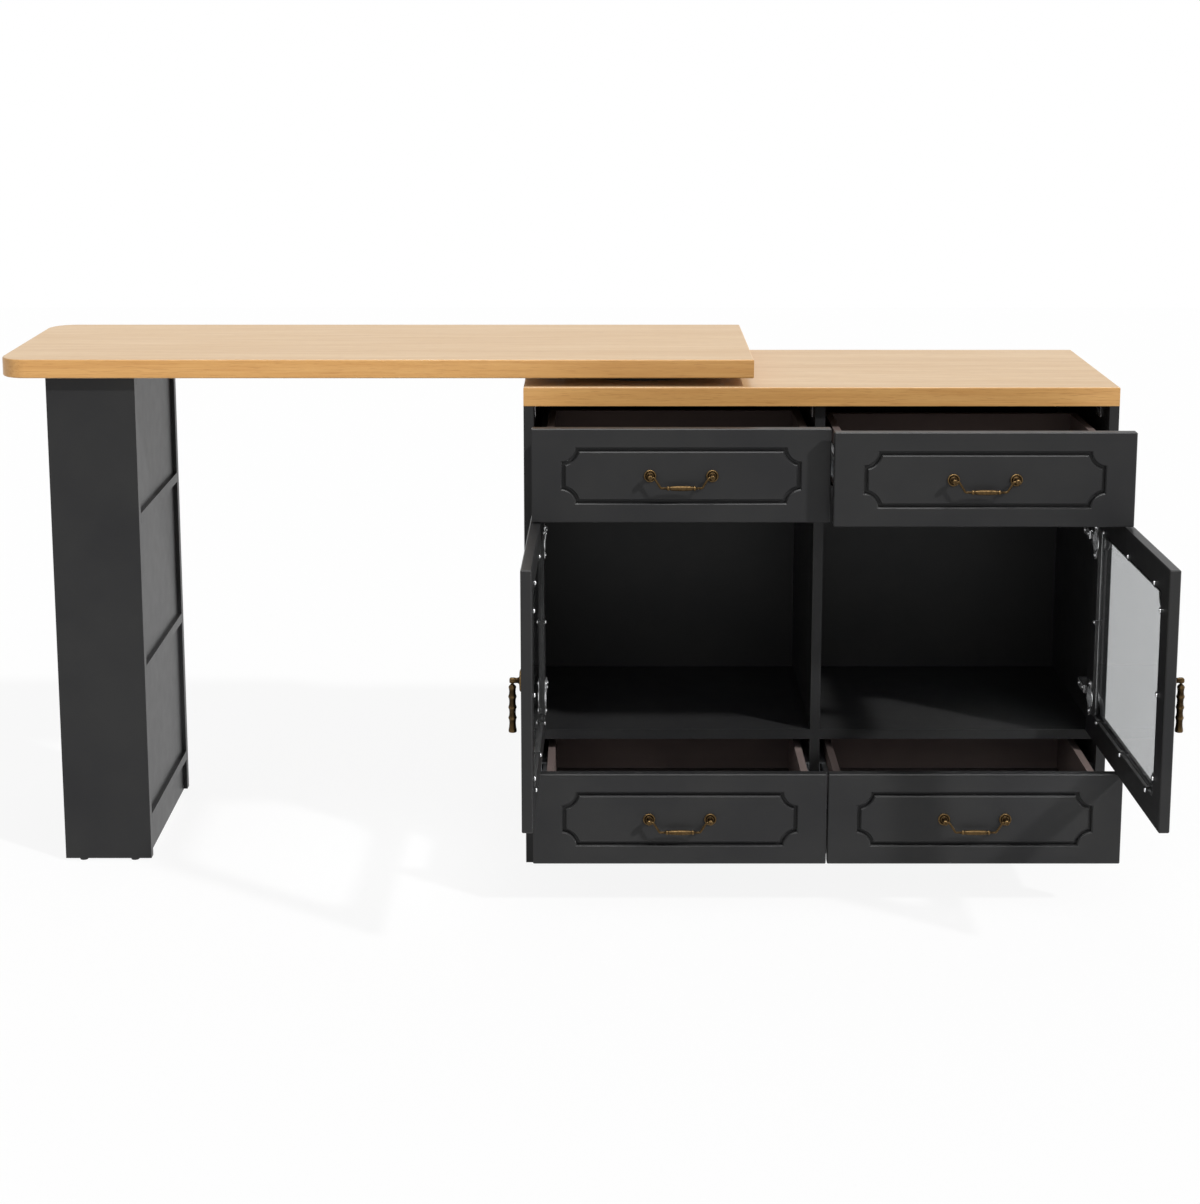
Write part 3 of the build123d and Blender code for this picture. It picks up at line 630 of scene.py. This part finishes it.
def rounded_route(points, radius, steps=6):
    """Stations along a bent rod in the XZ plane: place and heading, with an arc at each corner."""
    stations = []
    for n, (x, z) in enumerate(points):
        if n in (0, len(points) - 1):
            a, b = points[max(n - 1, 0)], points[min(n + 1, len(points) - 1)]
            stations.append((x, z, math.atan2(b[1] - a[1], b[0] - a[0])))
            continue
        before = math.atan2(z - points[n - 1][1], x - points[n - 1][0])
        after = math.atan2(points[n + 1][1] - z, points[n + 1][0] - x)
        bend = after - before
        run = radius * math.tan(abs(bend) / 2)
        side = math.copysign(math.pi / 2, bend)
        start = (x - run * math.cos(before), z - run * math.sin(before))
        middle = (start[0] + radius * math.cos(before + side), start[1] + radius * math.sin(before + side))
        for k in range(steps + 1):
            heading = before + bend * k / steps
            spoke = heading - side
            stations.append((
                middle[0] + radius * math.cos(spoke), middle[1] + radius * math.sin(spoke), heading,
            ))
    return stations


def swept(stations, sides=20):
    """A bent rod in the XZ plane: a ring is extruded from station to station, turned and scaled."""
    x, z, heading, radius = stations[0]
    bpy.ops.mesh.primitive_circle_add(
        vertices=sides, radius=radius * MM, fill_type="NGON",
        location=(x * MM, 0, z * MM), rotation=(0, math.pi / 2 - heading, 0),
    )
    piece = bpy.context.object
    bpy.ops.object.transform_apply(location=True, rotation=True, scale=True)
    bpy.ops.object.mode_set(mode="EDIT")
    bpy.ops.mesh.select_all(action="SELECT")
    for (x0, z0, h0, r0), (x1, z1, h1, r1) in zip(stations, stations[1:]):
        bpy.ops.mesh.extrude_region_move(
            TRANSFORM_OT_translate={"value": ((x1 - x0) * MM, 0, (z1 - z0) * MM)}
        )
        centre = (x1 * MM, 0, z1 * MM)
        if abs(h1 - h0) > 1e-6:
            bpy.ops.transform.rotate(value=h1 - h0, orient_axis="Y", center_override=centre)
        if abs(r1 - r0) > 1e-6:
            share = r1 / r0
            bpy.ops.transform.resize(value=(share, share, share), center_override=centre)
    bpy.ops.mesh.select_all(action="SELECT")
    bpy.ops.mesh.normals_make_consistent(inside=False)
    bpy.ops.object.mode_set(mode="OBJECT")
    smooth(piece, TURNED_SMOOTH)
    return piece


def middle_of(node):
    """The middle of a CAD node's box, in millimetres."""
    low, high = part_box(node)
    return (low + high) / 2 / MM


bpy.ops.object.select_all(action="DESELECT")

# Finishes, and the CAD boards that keep their own shape
lacquer = make_lacquer("Satin charcoal lacquer on MDF", "#272728", "#2c2c2c", 0.36)
# The drawer bottoms' foil is partly its own colour and partly painted light: lifted lighter to make up for the
# shade inside the drawers
bottom_foil_lifted_for_shade = make_lacquer("Charcoal melamine foil lightened as painted light", "#4c4746", "#544e4d", 0.44)
# The drawer walls' foil is partly its own colour and partly painted light: lighter and warmer for the light the
# oak throws into the shaded drawer
wall_foil_with_painted_bounce = make_lacquer("Grey melamine foil with painted warm bounce light", "#6b5f5c", "#756864", 0.4)
oak = make_oak()
brass = make_antique_brass()
steel = make_zinc_steel("Bright zinc-plated steel", "#e0e1e2", "#eff0f1", 0.22)
slide_steel = make_zinc_steel("Galvanised slide steel", "#94979a", "#a8abae", 0.5)
glass = make_float_glass()
nylon = make_nylon()
gap_shade_black = make_gap_shade_black()
slot_finishes = {
    PAINT: lacquer, OAK: oak, BRASS: brass, STEEL: steel,
    GLASS: glass, NYLON: nylon, BLACK: gap_shade_black,
}
# What has another finish than the rest of its slot, by the end of the node's name
own_finishes = {"drawer_bottom": bottom_foil_lifted_for_shade, "drawer_walls": wall_foil_with_painted_bounce, "runners": slide_steel}
for subpart in frame["record"]["subparts"]:
    node_object = frame["nodes"][subpart["node"]]
    finish = slot_finishes[subpart["material_slot"]]
    for ending, own_finish in own_finishes.items():
        if subpart["node"].endswith(ending):
            finish = own_finish
    node_object.data.materials.clear()
    node_object.data.materials.append(finish)
    # Light goes through clear glass, so it throws no shadow
    node_object.visible_shadow = finish is not glass

# Pan-head screw with a cross recess, used all over
screw_profile = [(0.2, 0), (3.4, 0), (3.4, 0.5), (3.0, 1.2), (2.2, 1.8), (1.2, 2.1), (0.3, HEAD_H)]
screw = turned(screw_profile, sides=24)
cut(screw, join([
    add_block((CROSS_W, CROSS_L, CROSS_H), (0, 0, HEAD_H)),
    add_block((CROSS_L, CROSS_W, CROSS_H), (0, 0, HEAD_H)),
]))

# Drawer front, the same on all four drawers: a soft-edged board with the routed line
drawers = ["upper_left", "upper_right", "lower_left", "lower_right"]
low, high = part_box("upper_left_drawer_front")
front_w, front_t, front_h = (high - low) / MM
line_w = front_w - 2 * GROOVE_SIDE
line_h = front_h - 2 * GROOVE_END
front_board = add_block((front_w, front_t, front_h), (0, front_t / 2, 0))
soften(front_board, SOFT, segments=1)
# The sloped walls of the line are cut first
slopes = move(scooped_block(line_w, line_h, SOFT, 0, SCOOP_R), (0, -SOFT, 0))
drawn_in(slopes, 1, GROOVE_SLOPE, GROOVE_SLOPE, SOFT)
island = scooped_block(line_w, line_h, FRONT_T, GROOVE_W - GROOVE_SLOPE, SCOOP_R)
move(island, (0, GROOVE_SLOPE, 0))
cut(slopes, drawn_in(island, -1, GROOVE_SLOPE, GROOVE_SLOPE, FRONT_T))
cut(front_board, slopes)
# Then its floor, a step inside the foot of the slopes
floor_in = GROOVE_SLOPE + GROOVE_STEP
line_floor = scooped_block(line_w, line_h, 2 * GROOVE_DEPTH, floor_in, SCOOP_R)
move(line_floor, (0, -GROOVE_DEPTH, 0))
floor_island = scooped_block(line_w, line_h, 2 * FRONT_T, GROOVE_W - floor_in, SCOOP_R)
cut(line_floor, move(floor_island, (0, -FRONT_T, 0)))
cut(front_board, line_floor)
smooth(front_board, BOARD_SMOOTH)

# Rosettes and posts of a bail pull, cut for the rod, with their screws at the back
post_profile = [
    (10.0, 0), (10.0, 1.2), (9.5, 2.1), (8.6, 2.5), (7.7, 2.2), (7.2, 1.6), (6.4, 1.6), (5.9, 2.3),
    (5.2, 2.9), (4.1, 3.2), (3.5, 4.2), (3.2, 6.5), (3.3, 9.0), (3.9, 10.8), (4.5, 12.4), (4.6, 15.0),
    (4.4, 17.3), (3.5, 18.8), (2.0, 19.4), (0.4, 19.5),
]
post_places = (-BAIL_SPAN / 2, BAIL_SPAN / 2)
post = move(turned(post_profile), turn=TO_FRONT)
posts = copies_at(post, [(x, 0, 0) for x in post_places])
for one_post in posts:
    cut(one_post, add_rod(ROD_R + ROD_GAP, 2 * BAIL_SPAN, (0, -BAIL_OFF, 0), TO_RIGHT, sides=24))
pull_posts = join(posts + copies_at(screw, [(x, FRONT_T, 0) for x in post_places], TO_REAR))
bpy.data.objects.remove(post)

# Bail: a bent rod that swells into a ringed grip
tip = BAIL_SPAN / 2 + POST_R / 2
shoulder = BAIL_SPAN / 2 - POST_R - ROD_R
bends = [
    (-tip, 0), (-shoulder, 0), (-BAIL_BAR / 2, -BAIL_DROP),
    (BAIL_BAR / 2, -BAIL_DROP), (shoulder, 0), (tip, 0),
]
half_grip = [
    (-24.5, ROD_R), (-23.4, 2.5), (-22.4, 3.5), (-21.2, 3.9), (-20.0, 3.7), (-19.2, 3.1), (-18.4, 3.0),
    (-16.0, 3.5), (-12.0, 3.9), (-6.0, 4.2), (0.0, 4.3),
]
grip = half_grip + [(-x, r) for x, r in reversed(half_grip[:-1])]
route = [(x, z, h, ROD_R) for x, z, h in rounded_route(bends, BEND_R)]
split = len(route) // 2
route = route[:split] + [(x, -BAIL_DROP, 0.0, r) for x, r in grip] + route[split:]
bail = move(swept(route), (0, -BAIL_OFF, 0))

for name in drawers:
    low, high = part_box(f"{name}_drawer_front")
    place = Matrix.Translation(((low.x + high.x) / 2, low.y, (low.z + high.z) / 2))
    settle(copy_of(front_board, place), f"{name}_routed_front", lacquer, f"{name}_drawer", PAINT,
           f"{name}_drawer_front")
    settle(copy_of(pull_posts, place), f"{name}_rosettes", brass, f"{name}_drawer", BRASS,
           f"{name}_pull_posts")
    settle(copy_of(bail, place), f"{name}_bail_handle", brass, f"{name}_handle", BRASS, f"{name}_bail")
for done in (front_board, pull_posts, bail):
    bpy.data.objects.remove(done)

# Drawer half of a ball slide: a lipped channel with ribs, slots and screws, its web at x 0
low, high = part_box("upper_left_drawer_runners")
slide_l = (high.y - low.y) / MM
slide_h = (high.z - low.z) / MM
web = add_block((SLIDE_T, slide_l, slide_h), (SLIDE_T / 2, 0, 0))
for share in SLOT_PLACES:
    slot_y = share * slide_l
    cut(web, join([
        add_block((SLOT_CUT, SLOT_L, SLOT_H), (0, slot_y, 0)),
        add_rod(SLOT_H / 2, SLOT_CUT, (0, slot_y - SLOT_L / 2, 0), TO_RIGHT, sides=24),
        add_rod(SLOT_H / 2, SLOT_CUT, (0, slot_y + SLOT_L / 2, 0), TO_RIGHT, sides=24),
    ]))
slide_parts = [web]
for up in (-1, 1):
    flange_z = up * (slide_h / 2 - SLIDE_T / 2)
    lip_z = up * (slide_h / 2 - SLIDE_LIP / 2)
    rib_size = (RIB_OUT, slide_l - RIB_SHORT, RIB_H)
    slide_parts += [
        add_block((SLIDE_DEEP, slide_l, SLIDE_T), (SLIDE_DEEP / 2, 0, flange_z)),
        add_block((SLIDE_T, slide_l, SLIDE_LIP), (SLIDE_DEEP - SLIDE_T / 2, 0, lip_z)),
        add_block(rib_size, (SLIDE_T, 0, up * slide_h / 4)),
    ]
slide_screws = copies_at(screw, [(SLIDE_T, share * slide_l, 0) for share in SLIDE_SCREWS], TO_RIGHT)
slide = join(slide_parts + slide_screws)
for name in drawers:
    low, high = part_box(f"{name}_drawer_runners")
    middle = (low + high) / 2
    right = copy_of(slide, Matrix.Translation((high.x - SLIDE_DEEP * MM, middle.y, middle.z)))
    at_left = Matrix.Translation((low.x + SLIDE_DEEP * MM, middle.y, middle.z))
    left = copy_of(slide, at_left @ Matrix.Scale(-1, 4, (1, 0, 0)))
    settle(join([right, left]), f"{name}_ball_slides", slide_steel, f"{name}_drawer", STEEL,
           f"{name}_drawer_runners")
bpy.data.objects.remove(slide)

# Doors are made as if shut, face at y 0, and turned open about the pin; the left one is mirrored
right_joint = next(j for j in frame["joints"] if j["name"] == "right_door_swing")
cabinet_middle = middle_of("centre_partition").x
pin_place = Matrix.Translation(right_joint["pos_m"])
to_pin = Matrix.Translation(((PIN_IN - DOOR_W / 2) * MM, -PIN_BACK * MM, 0))
right_place = pin_place @ Matrix.Rotation(math.radians(DOOR_OPEN), 4, "Z") @ to_pin
mirrored = (
    Matrix.Translation((cabinet_middle * MM, 0, 0))
    @ Matrix.Scale(-1, 4, (1, 0, 0))
    @ Matrix.Translation((-cabinet_middle * MM, 0, 0))
)
door_places = {"right": right_place, "left": mirrored @ right_place}

# Door frame, with its scooped opening, the rebate behind it and the hinge bores
rebate_w = DOOR_W - 2 * REBATE_IN
rebate_h = DOOR_H - 2 * REBATE_IN
opening_w = rebate_w - 2 * LIP_W
opening_h = rebate_h - 2 * LIP_W
door_frame = add_block((DOOR_W, FRONT_T, DOOR_H), (0, FRONT_T / 2, 0))
soften(door_frame, SOFT, segments=1)
opening = move(scooped_block(opening_w, opening_h, SOFT, -LIP_SLOPE, DOOR_SCOOP_R), (0, -SOFT, 0))
cut(door_frame, drawn_in(opening, 1, LIP_SLOPE, LIP_SLOPE, FRONT_T))
cut(door_frame, add_block((rebate_w, FRONT_T, rebate_h), (0, LIP_T + FRONT_T / 2, 0)))
for z in (-HINGE_UP, HINGE_UP):
    cut(door_frame, add_rod(CUP_R, 2 * CUP_DEPTH, (DOOR_W / 2 - CUP_IN, FRONT_T, z), TO_FRONT))
    cut(door_frame, add_block(POCKET, (DOOR_W / 2, FRONT_T, z)))
smooth(door_frame, BOARD_SMOOTH)

# Black sheet round the rebate, behind the glass: painted shade laid over the rebate walls, which lie in shade
shade_sheet_depth = FRONT_T - LIP_T - GLASS_T - SHADE_SHEET_SHORT
shade_sheet_place = (0, FRONT_T - SHADE_SHEET_SHORT - shade_sheet_depth / 2, 0)
shade_sheet_inner = SHADE_SHEET_GAP + SHADE_SHEET_T
rebate_shade_sheet = add_block((rebate_w - 2 * SHADE_SHEET_GAP, shade_sheet_depth, rebate_h - 2 * SHADE_SHEET_GAP), shade_sheet_place)
cut(rebate_shade_sheet, add_block((rebate_w - 2 * shade_sheet_inner, 2 * FRONT_T, rebate_h - 2 * shade_sheet_inner), shade_sheet_place))

# Screws of the glass clips and of the cup flanges, on the rear of the door
clip_x = rebate_w / 2 + CLIP_SCREW_IN
clip_z = rebate_h / 2 + CLIP_SCREW_IN
rear_places = [(x, z) for z in (-clip_z, clip_z) for x in (-CLIP_SPREAD_X, 0, CLIP_SPREAD_X)]
rear_places += [(-clip_x, z) for z in (-CLIP_SPREAD_Z, 0, CLIP_SPREAD_Z)] + [(clip_x, 0)]
rear_places += [
    (DOOR_W / 2 - CUP_IN, z + up)
    for z in (-HINGE_UP, HINGE_UP) for up in (-FLANGE_SCREW_UP, FLANGE_SCREW_UP)
]
door_screws = join(copies_at(screw, [(x, FRONT_T + CLIP_T, z) for x, z in rear_places], TO_REAR))

# Drop pull: rosette with a forked post, and a turned bar that hangs from its pin
rosette_profile = [
    (17.0, 0), (17.0, 1.3), (16.2, 2.4), (14.8, 2.9), (13.4, 2.4), (12.6, 1.8), (10.8, 1.8), (9.8, 2.6),
    (8.2, 3.1), (6.4, 3.4), (5.2, 4.2), (4.3, 5.6), (4.0, 8.0), (4.3, 10.0), (4.6, 12.0), (4.6, 15.5),
    (4.2, 17.4), (3.2, 18.3), (0.4, 18.5),
]
pull_pin_place = (PULL_X, -PULL_STAND, PULL_UP)
forked = move(turned(rosette_profile, sides=48), (PULL_X, 0, PULL_UP), TO_FRONT)
cut(forked, add_block(FORK_SLOT, (PULL_X, -PULL_STAND - FORK_OUT, PULL_UP)))
rosette = join([forked, add_rod(PULL_PIN_R, PULL_PIN_L, pull_pin_place, TO_RIGHT, sides=20)])
drop_profile = [
    (1.7, 5.0), (1.9, 2.4), (2.6, 1.3), (3.6, 0.3), (4.7, -0.8), (5.5, -2.0), (5.8, -3.6), (5.3, -5.5),
    (4.8, -10.0), (5.2, -14.5), (6.0, -16.6), (6.4, -18.0), (6.0, -19.4), (5.2, -21.5), (4.8, -26.5),
    (5.2, -31.0), (6.0, -33.2), (6.4, -34.6), (6.0, -36.0), (5.2, -38.2), (4.8, -43.0), (5.2, -47.6),
    (6.0, -49.8), (6.4, -51.2), (6.0, -52.6), (5.2, -54.8), (4.9, -59.5), (5.3, -65.0), (6.1, -69.5),
    (6.3, -72.0), (5.8, -73.5), (3.6, -74.0),
]
drop_bar = move(turned(drop_profile[::-1], sides=32), (PULL_X, -PULL_STAND, PULL_UP - DROP_GAP))
eye = add_rod(EYE_R, EYE_T, pull_pin_place, TO_RIGHT, sides=40)
cut(eye, add_rod(EYE_BORE_R, 2 * EYE_T, pull_pin_place, TO_RIGHT, sides=24))
soften(eye, EYE_SOFT, segments=2, angle=50)
drop = join([drop_bar, eye])

for side, place in door_places.items():
    settle(copy_of(door_frame, place), f"{side}_glazed_frame", lacquer, f"{side}_door", PAINT,
           f"{side}_door_frame")
    settle(copy_of(rosette, place), f"{side}_forked_rosette", brass, f"{side}_door", BRASS,
           f"{side}_pull_rosette")
    settle(copy_of(drop, place), f"{side}_turned_drop", brass, f"{side}_drop", BRASS, f"{side}_pull_drop")
    settle(copy_of(door_screws, place), f"{side}_door_screws", steel, f"{side}_door", STEEL)
    # The black sheet round the glass is painted shade on the rebate walls
    settle(copy_of(rebate_shade_sheet, place), f"{side}_glass_shade_sheet", nylon, f"{side}_door", NYLON)
for done in (door_frame, rosette, drop, door_screws, rebate_shade_sheet):
    bpy.data.objects.remove(done)

# Screws of the hinge plates, and pressed covers over the hinge arms
arm_low, arm_high = [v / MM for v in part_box("hinge_arms")]
hinge_heights = [right_joint["pos_m"][2] / MM + up for up in (-HINGE_UP, HINGE_UP)]
plate_faces = {"left": (arm_low.x + PLATE_T, TO_RIGHT), "right": (arm_high.x - PLATE_T, TO_LEFT)}
for side, (x, turn) in plate_faces.items():
    plate_screws = copies_at(screw, [
        (x, arm_high.y - PLATE_SCREW_BACK, z + up)
        for z in hinge_heights for up in (-PLATE_SCREW_UP, PLATE_SCREW_UP)
    ], turn)
    settle(join(plate_screws), f"{side}_plate_screws", steel, "cabinet", STEEL)
    inward = math.copysign(1, cabinet_middle - x)
    cover_x = x + inward * COVER_OUT / 2
    head_x = x + inward * (COVER_OUT - SCREW_SINK)
    covers = []
    for z in hinge_heights:
        cover_place = (cover_x, arm_high.y - COVER_L / 2 - COVER_BACK, z)
        cover = add_block((COVER_OUT, COVER_L, COVER_H), cover_place)
        soften(cover, COVER_SOFT)
        heads = copies_at(screw, [(head_x, arm_high.y - back, z) for back in COVER_SCREWS], turn)
        covers.append(join([cover] + heads))
    settle(join(covers), f"{side}_arm_covers", steel, "cabinet", STEEL)

# Screws that hold the cabinet's back to its three long boards
back_low, back_high = [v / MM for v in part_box("back_panel")]
back_step = (back_high.x - back_low.x - 2 * BACK_SCREW_IN) / (BACK_SCREW_COUNT - 1)
back_rows = [middle_of(node).z for node in ("bottom_board", "compartment_shelf", "divider_shelf")]
back_screws = copies_at(screw, [
    (back_low.x + BACK_SCREW_IN + n * back_step, back_high.y, z)
    for z in back_rows for n in range(BACK_SCREW_COUNT)
], TO_REAR)
settle(join(back_screws), "back_screws", steel, "cabinet", STEEL)
bpy.data.objects.remove(screw)

# White floor that takes only a faint shadow in the picture
bpy.ops.mesh.primitive_plane_add(size=FLOOR_SIZE, location=(0, 0, -FLOOR_DOWN))
floor = bpy.context.object
floor.name = "studio_floor"
floor_paint, tree, _, output = new_material("White studio floor")
mostly = add_node(tree, "ShaderNodeMath", {0: seen_by_eye(tree), 1: FLOOR_GLOW}, operation="MULTIPLY")
matt = add_node(tree, "ShaderNodeBsdfDiffuse", {"Color": linear("#ececec")})
glow = add_node(tree, "ShaderNodeEmission", {"Color": (1, 1, 1, 1), "Strength": 1.0})
mixed = add_node(tree, "ShaderNodeMixShader", {0: mostly.outputs[0], 1: matt.outputs[0], 2: glow.outputs[0]})
tree.links.new(mixed.outputs[0], output.inputs[0])
floor.data.materials.append(floor_paint)

# White room: it shows white in the picture and in gloss and glass, and lights softly
world = bpy.data.worlds.new("White studio")
bpy.context.scene.world = world
world.use_nodes = True
tree = world.node_tree
tree.nodes.clear()
fill = add_node(tree, "ShaderNodeBackground", {"Color": (1, 1, 1, 1), "Strength": ROOM_FILL})
white = add_node(tree, "ShaderNodeBackground", {"Color": (1, 1, 1, 1), "Strength": 1.0})
mixed = add_node(tree, "ShaderNodeMixShader", {0: seen_by_eye(tree), 1: fill.outputs[0], 2: white.outputs[0]})
add_node(tree, "ShaderNodeOutputWorld", {0: mixed.outputs[0]})

# Key light from the upper right front, kept out of the gloss
bpy.ops.object.light_add(type="SUN", location=KEY_PLACE)
key = bpy.context.object
key.name = "key_light"
key.data.energy = KEY_STRENGTH
key.data.angle = math.radians(KEY_ANGLE)
key.visible_glossy = False
key.rotation_euler = Vector(KEY_HEADING).to_track_quat("-Z", "Y").to_euler()

# Two soft boxes that only shine in gloss, for bright lines along the slanted edges
for name, (place, (width, height), watts) in SOFT_BOXES.items():
    bpy.ops.object.light_add(type="AREA", location=place)
    soft_box = bpy.context.object
    soft_box.name = f"{name}_light"
    soft_box.data.shape = "RECTANGLE"
    soft_box.data.size = width
    soft_box.data.size_y = height
    soft_box.data.energy = watts
    soft_box.visible_diffuse = False
    aim = Vector(SOFT_BOX_AIM) - soft_box.location
    soft_box.rotation_euler = aim.to_track_quat("-Z", "Y").to_euler()

# Camera: as far off and as high as the photo's, and turned down a little
bpy.ops.object.camera_add(location=CAMERA_PLACE, rotation=(math.radians(90 - CAMERA_DOWN), 0, 0))
camera = bpy.context.object
camera.data.sensor_width = CAMERA_SENSOR
camera.data.lens = CAMERA_LENS
camera.data.shift_y = CAMERA_SHIFT
bpy.context.scene.camera = camera
bpy.context.scene.view_settings.view_transform = "Standard"
